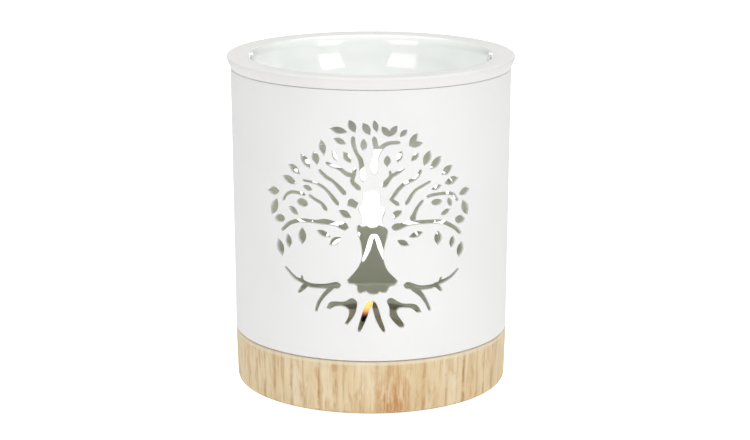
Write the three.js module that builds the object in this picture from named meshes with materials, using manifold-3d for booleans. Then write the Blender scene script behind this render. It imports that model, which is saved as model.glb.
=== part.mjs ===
import * as THREE from 'three';
import { mergeVertices } from 'three/addons/utils/BufferGeometryUtils.js';
import Module from 'manifold-3d';

// Essential oil burner: a pierced ceramic sleeve on a wood base, with a lift-off dish and a tealight.
// Millimetres, +Z up, standing on z = 0, the photographed front facing -Y.

const wasm = await Module();
wasm.setup();

// Sleeve, the pierced ceramic wall
const TOTAL_HEIGHT = 126.0;
const SLEEVE_RADIUS_TOP = 52.5;
const SLEEVE_RADIUS_FOOT = 51.75;
const SLEEVE_WALL = 2.0;
const SLEEVE_EDGE = 0.4;

// Dish
const LIP_HEIGHT = 4.3;
const LIP_OVERHANG = 1.5;
const LIP_ROUND = 0.8;
const DISH_WALL = 4.1;
const DISH_DEPTH = 28.4;
const DISH_FLOOR_RADIUS = 15;
const RIM_FALL = 0.2;
const RIM_SLOPE = 1.6;
const RIM_SLOPE_DROP = 1.85;
const RIM_SHOULDER = 4.2;

// Base
const BASE_TOP = 21.4;
const BASE_EASE = 0.8;
const BASE_TAPER = 0.5;
const BASE_FOOT_ROUND = 2.6;
const BASE_LIP_HEIGHT = 2.2;
const BASE_LIP_WALL = 3.0;
const BASE_FLOOR_TOP = 9.0;
const BASE_FILLET = 2.0;
const RECESS_DEPTH = 1.5;

// Pads under the base
const PAD_COUNT = 4;
const PAD_RADIUS = 5.0;
const PAD_PROUD = 1.0;
const PAD_SUNK = 0.7;
const PAD_RING_RADIUS = 36;

// Tealight
const TEALIGHT_RADIUS = 19;
const TEALIGHT_HEIGHT = 16;
const CUP_WALL = 0.5;
const CUP_RIM = 0.5;
const CUP_RIM_HEIGHT = 0.9;
const CUP_FOOT_ROUND = 1.0;
const WAX_BELOW_RIM = 2.3;
const WICK_RADIUS = 0.9;
const WICK_PROUD = 3.2;
const WICK_CURL = 2.9;
const WICK_TIP_CLEAR = 0.6;
const SUSTAINER_RADIUS = 6;
const SUSTAINER_THICK = 0.5;
const COLLAR_HEIGHT = 3;
const COLLAR_WALL = 0.5;

// Clearances, and how far a cutter reaches past the wall and narrows outside it
const SEAT_GAP = 0.3;
const SPIGOT_GAP = 0.35;
const DISH_GAP = 2.4;
const RECESS_GAP = 1.5;
const CUT_PAST = 3;
const CUTTER_LENGTH = 4000;

// Facets round each turned piece, and steps on a leaf's edge and on a turned curve
const ROUND = 48;
const SMALL_ROUND = 16;
const LEAF_STEPS = 4;
const CURVE_STEPS = 4;
const BOWL_STEPS = 5;

// Sizes that follow from those
const SLEEVE_FOOT = BASE_TOP + SEAT_GAP;
const LIP_UNDER = TOTAL_HEIGHT - LIP_HEIGHT;
const SLEEVE_TOP = LIP_UNDER - SEAT_GAP;
const BORE_TOP = SLEEVE_RADIUS_TOP - SLEEVE_WALL;
const BORE_FOOT = SLEEVE_RADIUS_FOOT - SLEEVE_WALL;
const LIP_RADIUS = SLEEVE_RADIUS_TOP + LIP_OVERHANG;
const RECESS_FLOOR = BASE_FLOOR_TOP - RECESS_DEPTH;
const TEALIGHT_FOOT = RECESS_FLOOR + SEAT_GAP;

function toSolid(geometry) {
  const bare = geometry.index ? geometry.clone() : geometry;
  for (const name of Object.keys(bare.attributes)) {
    if (name !== 'position') bare.deleteAttribute(name);
  }
  const merged = mergeVertices(bare, 1e-4);
  const index = merged.index.array;
  const kept = [];
  for (let i = 0; i < index.length; i += 3) {
    const [a, b, c] = [index[i], index[i + 1], index[i + 2]];
    if (a !== b && b !== c && a !== c) kept.push(a, b, c);
  }
  const mesh = new wasm.Mesh({
    numProp: 3,
    vertProperties: new Float32Array(merged.attributes.position.array),
    triVerts: new Uint32Array(kept),
  });
  return new wasm.Manifold(mesh);
}

function toGeometry(solid) {
  const mesh = solid.getMesh();
  const geometry = new THREE.BufferGeometry();
  const step = mesh.numProp;
  const position = new Float32Array(mesh.numVert * 3);
  for (let i = 0; i < mesh.numVert; i += 1) {
    for (let k = 0; k < 3; k += 1) position[3 * i + k] = mesh.vertProperties[step * i + k];
  }
  geometry.setAttribute('position', new THREE.BufferAttribute(position, 3));
  geometry.setIndex(new THREE.BufferAttribute(new Uint32Array(mesh.triVerts), 1));
  geometry.computeVertexNormals();
  return geometry;
}

// Turns a closed or axis-to-axis profile of radius and height round the burner's axis
function turned(points, facets) {
  const profile = points.map(([r, z]) => new THREE.Vector2(r, z));
  const geometry = new THREE.LatheGeometry(profile, facets);
  geometry.rotateX(Math.PI / 2);
  return toSolid(geometry);
}

// Points of a rounded corner, from one point to another round the corner between them
function rounded(from, corner, to) {
  const [a, b, c] = [from, corner, to].map(([r, z]) => new THREE.Vector2(r, z));
  return new THREE.QuadraticBezierCurve(a, b, c).getPoints(CURVE_STEPS).map((p) => [p.x, p.y]);
}

// Points of a bowl's side, from its upright wall down to the edge of its flat floor
function bowlSide(wallRadius, wallFoot, floorRadius, floor) {
  const width = wallRadius - floorRadius;
  const side = new THREE.EllipseCurve(floorRadius, wallFoot, width, wallFoot - floor, 0, -Math.PI / 2, true);
  return side.getPoints(BOWL_STEPS).map((p) => [p.x, p.y]);
}

const burner = new THREE.Group();

function add(name, geometry, color, roughness, metalness = 0) {
  const material = new THREE.MeshStandardMaterial({ color, roughness, metalness });
  const mesh = new THREE.Mesh(geometry, material);
  mesh.name = name;
  burner.add(mesh);
  return mesh;
}

// The tree of life as drawn flat on the sleeve: x is the way round it from the middle of the tree,
// y the height on the sleeve, for a sleeve that runs from DRAWN_FOOT up over DRAWN_WALL.
const DRAWN_FOOT = 20.7;
const DRAWN_WALL = 99.7;

// How far the back tree is turned off the exact opposite of the front one, and how much lower it sits
const BACK_TURN = -1.5;
const BACK_DROP = 0.8;

// Leaves: x, y of the middle, tilt in degrees, length, width
const LEAVES = [
  [-11.5, 105.9, -9, 6.4, 2.5], [-6.6, 107.5, -65, 5.0, 2.9], [-1.5, 106.6, -60, 5.0, 2.8],
  [1.7, 107.6, -76, 4.4, 2.1], [-11.1, 102.0, -21, 4.9, 2.2], [-17.5, 99.4, -79, 5.8, 2.7],
  [-20.2, 95.4, -75, 5.2, 3.0], [-24.3, 93.9, -51, 6.3, 2.9], [-28.9, 90.5, -32, 5.7, 2.9],
  [-31.1, 86.3, -18, 6.6, 2.9], [-38.6, 81.2, 5, 5.9, 3.1], [-38.4, 75.4, 65, 7.0, 3.6],
  [-23.5, 84.1, -15, 4.1, 2.1], [-29.5, 75.2, -34, 4.9, 2.4], [-13.0, 96.7, -72, 4.1, 2.0],
  [-8.5, 96.2, -56, 4.7, 2.6], [-2.5, 100.8, 90, 4.6, 2.5], [-9.3, 75.5, -30, 5.2, 2.6],
  [5.3, 105.6, -53, 4.6, 2.5], [8.0, 105.7, 53, 4.8, 2.5], [11.7, 104.8, 43, 3.6, 2.0],
  [15.4, 102.3, 56, 5.5, 2.5], [16.4, 100.5, 9, 5.1, 2.2], [16.0, 96.0, 45, 3.9, 2.1],
  [20.6, 95.3, 67, 5.9, 3.0], [24.1, 93.3, 47, 6.3, 2.9], [28.8, 90.1, 33, 5.5, 3.0],
  [30.8, 86.0, 13, 6.2, 3.0], [36.8, 81.2, 14, 5.3, 2.8], [37.3, 75.2, -66, 6.4, 3.3],
  [24.5, 84.2, 17, 4.2, 2.0], [28.3, 74.7, 24, 4.3, 2.1], [30.1, 78.2, -65, 3.7, 2.1],
  [10.3, 96.4, 69, 4.5, 2.2], [5.9, 95.0, 90, 4.1, 2.6],
  [-35.7, 60.6, -74, 6.7, 3.5], [-31.8, 63.6, -85, 5.4, 2.8], [-25.9, 66.2, 89, 6.5, 3.4],
  [-17.4, 67.8, -20, 5.7, 2.3], [-13.0, 65.3, 35, 5.3, 2.7], [35.2, 59.9, 75, 6.0, 3.2],
  [31.4, 63.3, 80, 4.7, 2.5], [25.3, 65.5, -89, 5.4, 3.1], [16.6, 67.5, 15, 5.5, 2.3],
  [11.8, 64.7, -26, 4.8, 2.2],
];

// Rounder leaves, given in the same way
const BUDS = [
  [-35.8, 71.4, 9, 5.0, 3.0], [-25.7, 78.5, -7, 4.7, 3.0],
  [34.9, 71.1, -9, 4.7, 3.0], [24.6, 78.8, -1, 4.3, 2.4],
];

// Branches and roots: x, y and width along each middle line. Their ends run on by a share of the width.
const LIMB_END = 0.45;
const LIMBS = [
  [[-4.3, 85.0, 1.9], [-6.6, 87.4, 1.7], [-6.1, 89.9, 1.5], [-5.6, 92.1, 1.1]],
  [[-6.6, 89.6, 1.8], [-8.8, 90.2, 1.7], [-10.9, 91.8, 1.5], [-13.5, 92.7, 1.3], [-16.0, 93.8, 1.1]],
  [[-18.7, 90.9, 1.2], [-16.5, 88.9, 1.5], [-13.5, 87.1, 1.4], [-9.5, 83.1, 1.8]],
  [[-25.3, 86.7, 0.8], [-21.5, 86.4, 0.9], [-19.2, 85.8, 1.1], [-16.3, 84.1, 1.3], [-12.0, 79.1, 1.6]],
  [[-22.7, 81.4, 1.1], [-20.4, 80.0, 1.3], [-18.1, 78.9, 1.4], [-16.4, 76.8, 1.6]],
  [[-33.9, 78.6, 1.1], [-32.6, 80.7, 1.2], [-29.8, 81.9, 1.2], [-24.9, 81.6, 1.2]],
  [[-6.3, 103.4, 1.4], [-6.2, 101.3, 1.6], [-5.0, 97.6, 1.3], [-3.7, 95.6, 1.8], [-2.6, 88.2, 1.8]],
  [[1.2, 103.3, 1.5], [1.9, 99.8, 1.8], [2.3, 97.8, 2.2]],
  [[10.1, 101.5, 1.1], [7.5, 101.5, 1.3], [5.4, 101.0, 1.5], [3.6, 99.6, 1.8], [2.2, 98.0, 2.2]],
  [[2.6, 99.1, 2.5], [1.5, 95.4, 2.1], [1.2, 92.9, 2.6], [1.5, 90.4, 1.4]],
  [[4.7, 86.1, 2.0], [7.2, 89.2, 1.6], [9.3, 90.4, 1.3], [11.7, 91.9, 1.0]],
  [[6.9, 91.1, 1.0], [7.2, 88.8, 1.2]],
  [[9.8, 79.0, 1.3], [7.4, 80.8, 1.7], [9.4, 83.7, 1.5], [11.8, 86.1, 1.5], [16.8, 88.6, 1.3],
    [18.2, 90.9, 1.1]],
  [[12.9, 79.1, 1.3], [16.0, 83.6, 1.2], [18.7, 85.1, 1.1], [21.9, 86.6, 0.8]],
  [[19.0, 79.7, 1.1], [17.0, 77.3, 1.4], [15.7, 74.5, 1.9], [15.3, 73.4, 2.4]],
  [[20.9, 81.1, 1.1], [23.7, 81.6, 1.2], [31.2, 81.1, 1.2], [33.6, 78.4, 1.0]],
  [[-9.3, 70.8, 3.0], [-12.9, 71.7, 1.8], [-16.4, 72.2, 2.2], [-20.4, 71.9, 1.5], [-25.2, 71.9, 1.5],
    [-30.8, 70.4, 1.5], [-34.8, 67.3, 1.3]],
  [[8.6, 70.6, 2.6], [10.6, 70.9, 2.4], [13.4, 71.7, 1.7], [19.9, 71.9, 1.5], [27.1, 71.1, 1.5],
    [32.4, 68.4, 1.5], [35.1, 66.0, 1.2]],
  [[-12.0, 49.0, 2.4], [-16.8, 48.2, 1.9], [-22.7, 48.0, 1.8], [-29.0, 50.0, 1.4], [-33.3, 53.5, 0.8]],
  [[-26.2, 51.0, 1.0], [-26.0, 48.9, 1.4]],
  [[-24.7, 48.1, 2.3], [-27.6, 44.9, 1.1]],
  [[-14.4, 48.0, 1.8], [-17.3, 45.0, 1.5], [-19.3, 42.1, 1.3], [-20.5, 38.8, 1.0]],
  [[13.1, 48.9, 2.5], [18.1, 47.5, 1.9], [22.9, 47.5, 1.7], [30.5, 49.9, 1.3], [34.3, 52.6, 0.8]],
  [[26.7, 50.4, 1.0], [26.2, 48.5, 1.4]],
  [[24.6, 48.2, 2.1], [26.9, 45.7, 1.1]],
  [[15.8, 47.8, 2.5], [19.1, 44.6, 1.8], [21.1, 41.3, 1.3], [22.2, 38.8, 1.0]],
  [[-0.3, 42.8, 1.7], [-1.4, 40.7, 2.0], [-2.2, 37.9, 2.0], [-4.3, 32.2, 1.2]],
  [[0.6, 42.8, 1.7], [1.3, 41.7, 1.9], [2.0, 39.4, 2.1], [2.9, 36.4, 2.0], [4.8, 32.0, 1.1]],
];

// The trunk with its flared foot, then the two forked roots and the two short boughs beside the trunk
const TRUNK = [
  [-2.7, 83.2], [-1.0, 83.8], [1.5, 84.4], [2.6, 83.4], [3.3, 82.3], [3.3, 78.7], [4.9, 78.1], [5.1, 76.4],
  [4.2, 74.2], [4.0, 71.7], [5.8, 70.1], [6.2, 68.7], [5.6, 66.1], [4.9, 63.2], [4.6, 60.2],
  [4.9, 57.4], [6.3, 54.4], [9.7, 50.7], [9.5, 50.0], [8.4, 48.9], [6.9, 48.6], [5.5, 46.4],
  [4.0, 46.4], [3.1, 46.8], [2.2, 45.9], [-0.6, 46.0], [-1.7, 46.9], [-3.9, 46.0], [-5.0, 47.2],
  [-5.0, 48.7], [-6.4, 49.6], [-8.0, 49.7], [-8.6, 51.0], [-5.0, 55.2], [-3.6, 57.9], [-3.1, 60.0],
  [-3.5, 64.3], [-4.9, 69.3], [-4.9, 71.3], [-3.1, 71.9], [-3.3, 74.6], [-4.5, 77.7], [-3.1, 78.9],
];
const FORKED_ROOT_LEFT = [
  [-9.3, 43.1], [-7.5, 44.3], [-6.4, 44.3], [-5.1, 43.2], [-5.2, 40.8], [-5.9, 38.2], [-8.6, 34.3],
  [-9.6, 34.8], [-8.5, 36.7], [-8.0, 39.2], [-8.8, 40.5], [-11.2, 41.2], [-13.4, 40.8], [-15.3, 39.7],
  [-16.4, 40.1], [-15.7, 41.7], [-14.4, 42.7],
];
const FORKED_ROOT_RIGHT = [
  [5.9, 43.4], [6.8, 44.4], [8.0, 44.3], [9.5, 43.3], [11.7, 42.2], [15.9, 41.7], [17.8, 40.4],
  [18.8, 38.4], [17.4, 38.2], [15.1, 40.0], [10.6, 40.4], [9.6, 39.3], [10.3, 37.2], [12.4, 34.1],
  [12.1, 33.1], [10.8, 33.1], [8.1, 35.8], [7.0, 37.7], [6.8, 40.8],
];
const SHORT_BOUGH_LEFT = [[-7.9, 80.9], [-6.8, 81.3], [-4.4, 79.7], [-5.4, 77.6], [-8.5, 78.5]];
const SHORT_BOUGH_RIGHT = [[7.7, 75.7], [9.0, 76.7], [11.0, 76.8], [11.2, 76.0], [10.1, 74.6], [8.5, 73.6]];
const OUTLINES = [TRUNK, FORKED_ROOT_LEFT, FORKED_ROOT_RIGHT, SHORT_BOUGH_LEFT, SHORT_BOUGH_RIGHT];

function leafShape([x, y, tilt, length, width]) {
  const turn = THREE.MathUtils.degToRad(tilt);
  const along = new THREE.Vector2(Math.cos(turn), Math.sin(turn)).multiplyScalar(length / 2);
  const across = new THREE.Vector2(-along.y, along.x).setLength(width);
  const shape = new THREE.Shape();
  shape.moveTo(x - along.x, y - along.y);
  shape.quadraticCurveTo(x - across.x, y - across.y, x + along.x, y + along.y);
  shape.quadraticCurveTo(x + across.x, y + across.y, x - along.x, y - along.y);
  return shape;
}

function budShape([x, y, tilt, length, width]) {
  const shape = new THREE.Shape();
  shape.absellipse(x, y, length / 2, width / 2, 0, 2 * Math.PI, false, THREE.MathUtils.degToRad(tilt));
  return shape;
}

// A tapered stroke with a blunt point at each end
function limbShape(stations) {
  const left = [];
  const right = [];
  const last = stations.length - 1;
  stations.forEach(([x, y, width], i) => {
    const [px, py] = stations[Math.max(i - 1, 0)];
    const [nx, ny] = stations[Math.min(i + 1, last)];
    const normal = new THREE.Vector2(py - ny, nx - px).setLength(width / 2);
    left.push(new THREE.Vector2(x + normal.x, y + normal.y));
    right.push(new THREE.Vector2(x - normal.x, y - normal.y));
  });
  const endPoint = (end, before) => {
    const out = new THREE.Vector2(end[0] - before[0], end[1] - before[1]).setLength(LIMB_END * end[2]);
    return new THREE.Vector2(end[0] + out.x, end[1] + out.y);
  };
  const start = endPoint(stations[0], stations[1]);
  const finish = endPoint(stations[last], stations[last - 1]);
  return new THREE.Shape([start, ...right, finish, ...left.reverse()]);
}

function outlineShape(points) {
  return new THREE.Shape(points.map(([x, y]) => new THREE.Vector2(x, y)));
}

// Sets a flat cutter on the sleeve, square to the wall at the cutter's middle and right through it.
// The cutter narrows to a point far outside, so its sides are straight to within a few microns.
function wallCutter(shape, segments, turn, drop) {
  const scale = (SLEEVE_TOP - SLEEVE_FOOT) / DRAWN_WALL;
  const middle = (SLEEVE_RADIUS_TOP + SLEEVE_RADIUS_FOOT) / 2;
  const inside = Math.min(BORE_TOP, BORE_FOOT) - CUT_PAST;
  const flat = new THREE.ExtrudeGeometry(shape, {
    depth: CUTTER_LENGTH,
    steps: 1,
    bevelEnabled: false,
    curveSegments: segments,
  });
  flat.computeBoundingBox();
  const centre = flat.boundingBox.getCenter(new THREE.Vector3());
  const facing = (centre.x * scale) / middle;
  const position = flat.attributes.position;
  for (let i = 0; i < position.count; i += 1) {
    const outer = position.getZ(i) > CUTTER_LENGTH / 2;
    const drawn = outer ? centre : new THREE.Vector3(position.getX(i), position.getY(i), 0);
    const across = middle * Math.sin((drawn.x * scale) / middle - facing);
    const height = SLEEVE_FOOT + (drawn.y - drop - DRAWN_FOOT) * scale;
    position.setXYZ(i, across, outer ? -CUTTER_LENGTH : -inside, height);
  }
  flat.rotateZ(facing + turn);
  return toSolid(flat);
}

function treeCutters(turn, drop) {
  return [
    ...LEAVES.map((leaf) => wallCutter(leafShape(leaf), LEAF_STEPS, turn, drop)),
    ...BUDS.map((bud) => wallCutter(budShape(bud), 2 * LEAF_STEPS, turn, drop)),
    ...LIMBS.map((limb) => wallCutter(limbShape(limb), 1, turn, drop)),
    ...OUTLINES.map((outline) => wallCutter(outlineShape(outline), 1, turn, drop)),
  ];
}

// Sleeve: open at both ends, standing on the shoulder of the base
const sleeveBlank = turned([
  [BORE_FOOT + SLEEVE_EDGE, SLEEVE_FOOT],
  [SLEEVE_RADIUS_FOOT - SLEEVE_EDGE, SLEEVE_FOOT],
  [SLEEVE_RADIUS_FOOT, SLEEVE_FOOT + SLEEVE_EDGE],
  [SLEEVE_RADIUS_TOP, SLEEVE_TOP - SLEEVE_EDGE],
  [SLEEVE_RADIUS_TOP - SLEEVE_EDGE, SLEEVE_TOP],
  [BORE_TOP + SLEEVE_EDGE, SLEEVE_TOP],
  [BORE_TOP, SLEEVE_TOP - SLEEVE_EDGE],
  [BORE_FOOT, SLEEVE_FOOT + SLEEVE_EDGE],
  [BORE_FOOT + SLEEVE_EDGE, SLEEVE_FOOT],
], ROUND);
const backTurn = Math.PI + THREE.MathUtils.degToRad(BACK_TURN);
const cutters = [...treeCutters(0, 0), ...treeCutters(backTurn, BACK_DROP)];
const bothTrees = cutters.reduce((all, cutter) => all.add(cutter));
add('pierced_body', toGeometry(sleeveBlank.subtract(bothTrees)), 0xf3f2ef, 0.55);

// Dish: its lip rests on the sleeve's top edge, and its bowl hangs inside the sleeve. The flat rim ends in a
// slope that rounds into the bowl.
const DISH_OUTSIDE = BORE_TOP - DISH_GAP;
const BOWL_RADIUS = DISH_OUTSIDE - DISH_WALL;
const RIM_INNER = TOTAL_HEIGHT - RIM_FALL;
const BOWL_FLOOR = RIM_INNER - DISH_DEPTH;
const BOWL_SHOULDER = RIM_INNER - RIM_SHOULDER;
const DISH_FOOT = BOWL_FLOOR - DISH_WALL;
add('oil_dish', toGeometry(turned([
  [0, DISH_FOOT],
  ...bowlSide(DISH_OUTSIDE, LIP_UNDER, DISH_FLOOR_RADIUS, DISH_FOOT).reverse(),
  [SLEEVE_RADIUS_TOP, LIP_UNDER],
  [LIP_RADIUS, TOTAL_HEIGHT - LIP_ROUND],
  [LIP_RADIUS - LIP_ROUND / 3, TOTAL_HEIGHT - LIP_ROUND / 3],
  [LIP_RADIUS - LIP_ROUND, TOTAL_HEIGHT],
  ...rounded(
    [BOWL_RADIUS + RIM_SLOPE, RIM_INNER],
    [BOWL_RADIUS, RIM_INNER - RIM_SLOPE_DROP],
    [BOWL_RADIUS, BOWL_SHOULDER],
  ),
  ...bowlSide(BOWL_RADIUS, BOWL_SHOULDER, DISH_FLOOR_RADIUS, BOWL_FLOOR).slice(1),
  [0, BOWL_FLOOR],
], ROUND)), 0xf1f2ee, 0.25);

// Base: a shallow cup whose inner lip locates the sleeve, with a recess for the tealight
const LIP_OUTER = BORE_FOOT - SPIGOT_GAP;
const BASE_INSIDE = LIP_OUTER - BASE_LIP_WALL;
const BASE_LIP_TOP = BASE_TOP + BASE_LIP_HEIGHT;
const BASE_FOOT_RADIUS = SLEEVE_RADIUS_FOOT - BASE_TAPER;
const RECESS_RADIUS = TEALIGHT_RADIUS + RECESS_GAP;
const baseBlank = turned([
  [0, PAD_PROUD],
  ...rounded(
    [BASE_FOOT_RADIUS - BASE_FOOT_ROUND, PAD_PROUD],
    [BASE_FOOT_RADIUS, PAD_PROUD],
    [BASE_FOOT_RADIUS, PAD_PROUD + BASE_FOOT_ROUND],
  ),
  [SLEEVE_RADIUS_FOOT, BASE_TOP - BASE_EASE],
  [SLEEVE_RADIUS_FOOT - BASE_EASE, BASE_TOP],
  [LIP_OUTER, BASE_TOP],
  [LIP_OUTER, BASE_LIP_TOP],
  [BASE_INSIDE, BASE_LIP_TOP],
  [BASE_INSIDE, BASE_FLOOR_TOP + BASE_FILLET],
  [BASE_INSIDE - BASE_FILLET, BASE_FLOOR_TOP],
  [RECESS_RADIUS, BASE_FLOOR_TOP],
  [RECESS_RADIUS, RECESS_FLOOR],
  [0, RECESS_FLOOR],
], ROUND);

function standingDisc(radius, height, place, foot) {
  const disc = new THREE.CylinderGeometry(radius, radius, height, SMALL_ROUND);
  disc.rotateX(Math.PI / 2);
  disc.translate(place[0], place[1], foot + height / 2);
  return toSolid(disc);
}

const padPlaces = Array.from({ length: PAD_COUNT }, (_, i) => {
  const angle = ((i + 0.5) / PAD_COUNT) * 2 * Math.PI;
  return [PAD_RING_RADIUS * Math.cos(angle), PAD_RING_RADIUS * Math.sin(angle)];
});
const PAD_TOP = PAD_PROUD + PAD_SUNK;
const pockets = padPlaces.map((place) => standingDisc(PAD_RADIUS + SEAT_GAP, PAD_TOP + SEAT_GAP, place, 0));
const pocketedBase = pockets.reduce((base, pocket) => base.subtract(pocket), baseBlank);
add('wood_base', toGeometry(pocketedBase), 0xd9c198, 0.6);
padPlaces.forEach((place, i) => {
  add(`felt_pad_${i + 1}`, toGeometry(standingDisc(PAD_RADIUS, PAD_TOP, place, 0)), 0x8a7f70, 0.95);
});

// Tealight: cup, wax bored for the wick, and the wick held upright by its sustainer
const CUP_TOP = TEALIGHT_FOOT + TEALIGHT_HEIGHT;
const CUP_BORE = TEALIGHT_RADIUS - CUP_WALL;
const CUP_FLOOR = TEALIGHT_FOOT + CUP_WALL;
add('tealight_cup', toGeometry(turned([
  [0, TEALIGHT_FOOT],
  [TEALIGHT_RADIUS - CUP_FOOT_ROUND, TEALIGHT_FOOT],
  [TEALIGHT_RADIUS, TEALIGHT_FOOT + CUP_FOOT_ROUND],
  [TEALIGHT_RADIUS, CUP_TOP - CUP_RIM_HEIGHT],
  [TEALIGHT_RADIUS + CUP_RIM, CUP_TOP - CUP_RIM_HEIGHT],
  [TEALIGHT_RADIUS + CUP_RIM, CUP_TOP],
  [CUP_BORE, CUP_TOP],
  [CUP_BORE, CUP_FLOOR + CUP_FOOT_ROUND],
  [CUP_BORE - CUP_FOOT_ROUND, CUP_FLOOR],
  [0, CUP_FLOOR],
], 2 * SMALL_ROUND)), 0xc9cbcd, 0.3, 1);

const SUSTAINER_FOOT = CUP_FLOOR + SEAT_GAP;
const SUSTAINER_TOP = SUSTAINER_FOOT + SUSTAINER_THICK;
const COLLAR_BORE = WICK_RADIUS + SEAT_GAP;
const COLLAR_RADIUS = COLLAR_BORE + COLLAR_WALL;
const COLLAR_TOP = SUSTAINER_FOOT + COLLAR_HEIGHT;
add('wick_sustainer', toGeometry(turned([
  [0, SUSTAINER_FOOT],
  [SUSTAINER_RADIUS, SUSTAINER_FOOT],
  [SUSTAINER_RADIUS, SUSTAINER_TOP],
  [COLLAR_RADIUS, SUSTAINER_TOP],
  [COLLAR_RADIUS, COLLAR_TOP],
  [COLLAR_BORE, COLLAR_TOP],
  [COLLAR_BORE, SUSTAINER_TOP],
  [0, SUSTAINER_TOP],
], SMALL_ROUND)), 0xb4b6b8, 0.35, 1);

const WAX_RADIUS = CUP_BORE - SEAT_GAP;
const WAX_TOP = CUP_TOP - WAX_BELOW_RIM;
const WAX_BORE = WICK_RADIUS + SEAT_GAP;
const TAB_ROOM = SUSTAINER_RADIUS + SEAT_GAP;
const COLLAR_ROOM = COLLAR_RADIUS + SEAT_GAP;
add('tealight_wax', toGeometry(turned([
  [TAB_ROOM, SUSTAINER_FOOT],
  [WAX_RADIUS - CUP_FOOT_ROUND, SUSTAINER_FOOT],
  [WAX_RADIUS, SUSTAINER_FOOT + CUP_FOOT_ROUND],
  [WAX_RADIUS, WAX_TOP],
  [WAX_BORE, WAX_TOP],
  [WAX_BORE, COLLAR_TOP + SEAT_GAP],
  [COLLAR_ROOM, COLLAR_TOP + SEAT_GAP],
  [COLLAR_ROOM, SUSTAINER_TOP + SEAT_GAP],
  [TAB_ROOM, SUSTAINER_TOP + SEAT_GAP],
  [TAB_ROOM, SUSTAINER_FOOT],
], 2 * SMALL_ROUND)), 0xf0ebe0, 0.5);

// The wick stands straight in its collar and in the wax, and its burnt end hooks over to the left
const WICK_FOOT = SUSTAINER_TOP + SEAT_GAP;
const WICK_TIP = WAX_TOP + WICK_TIP_CLEAR;
const CURL_TOP = WAX_TOP + WICK_PROUD - WICK_RADIUS;
// The height of a cubic curve's two inner points for which the middle of the curve reaches CURL_TOP
const CURL_PULL = (8 * CURL_TOP - WAX_TOP - WICK_TIP) / 6;
const wickAt = (x, z) => new THREE.Vector3(x, 0, z);
const wickLine = new THREE.CurvePath();
wickLine.add(new THREE.LineCurve3(wickAt(0, WICK_FOOT), wickAt(0, WAX_TOP)));
wickLine.add(new THREE.CubicBezierCurve3(
  wickAt(0, WAX_TOP),
  wickAt(0, CURL_PULL),
  wickAt(-WICK_CURL, CURL_PULL),
  wickAt(-WICK_CURL, WICK_TIP),
));
const wickSection = new THREE.Shape().absarc(0, 0, WICK_RADIUS, 0, 2 * Math.PI, false);
add('wick', toGeometry(toSolid(new THREE.ExtrudeGeometry(wickSection, {
  steps: SMALL_ROUND,
  curveSegments: SMALL_ROUND / 4,
  extrudePath: wickLine,
}))), 0x2a2522, 0.9);

export default burner;
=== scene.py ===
import math

import bmesh
import bpy
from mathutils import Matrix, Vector, geometry, kdtree


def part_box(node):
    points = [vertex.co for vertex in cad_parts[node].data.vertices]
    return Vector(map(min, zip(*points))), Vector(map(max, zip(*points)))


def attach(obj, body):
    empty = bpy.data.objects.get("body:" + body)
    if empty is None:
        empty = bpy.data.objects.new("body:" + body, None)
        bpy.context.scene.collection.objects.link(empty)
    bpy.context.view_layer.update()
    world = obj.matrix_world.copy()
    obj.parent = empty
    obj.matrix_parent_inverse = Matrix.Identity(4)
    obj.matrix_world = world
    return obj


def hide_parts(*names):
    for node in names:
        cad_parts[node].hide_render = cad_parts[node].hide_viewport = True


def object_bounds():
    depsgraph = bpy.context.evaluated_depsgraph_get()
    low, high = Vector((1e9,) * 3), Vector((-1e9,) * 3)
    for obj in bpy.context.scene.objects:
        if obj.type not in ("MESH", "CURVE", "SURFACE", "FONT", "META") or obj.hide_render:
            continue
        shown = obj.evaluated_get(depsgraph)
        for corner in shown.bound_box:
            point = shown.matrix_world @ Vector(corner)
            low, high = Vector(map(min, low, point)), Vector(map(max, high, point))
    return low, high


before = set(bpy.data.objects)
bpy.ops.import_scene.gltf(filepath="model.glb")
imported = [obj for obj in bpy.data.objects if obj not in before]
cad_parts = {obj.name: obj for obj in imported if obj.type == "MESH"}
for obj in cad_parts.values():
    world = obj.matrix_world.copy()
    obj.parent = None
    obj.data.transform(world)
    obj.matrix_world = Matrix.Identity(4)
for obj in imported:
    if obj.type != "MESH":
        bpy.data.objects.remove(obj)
cad_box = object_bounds()
MIDDLE = (cad_box[0] + cad_box[1]) / 2

# Units, and the distance under which two corners are one
MM = 0.001
MERGE = 0.001 * MM

# Places of the solids
SLEEVE_LOW, SLEEVE_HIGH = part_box("pierced_body")
DISH_LOW, DISH_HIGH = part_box("oil_dish")
BASE_LOW, BASE_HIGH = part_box("wood_base")
CUP_LOW, CUP_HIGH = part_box("tealight_cup")
WAX_LOW, WAX_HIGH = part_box("tealight_wax")
WICK_LOW, WICK_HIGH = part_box("wick")

# Sleeve
SLEEVE_TOP_RADIUS = SLEEVE_HIGH.x
SLEEVE_FOOT_RADIUS = BASE_HIGH.x
SLEEVE_WALL = 2.0 * MM
SLEEVE_BORE = SLEEVE_FOOT_RADIUS - SLEEVE_WALL
HOLE_EDGE = 0.3 * MM
SLEEVE_EDGE = 0.4 * MM

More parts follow.
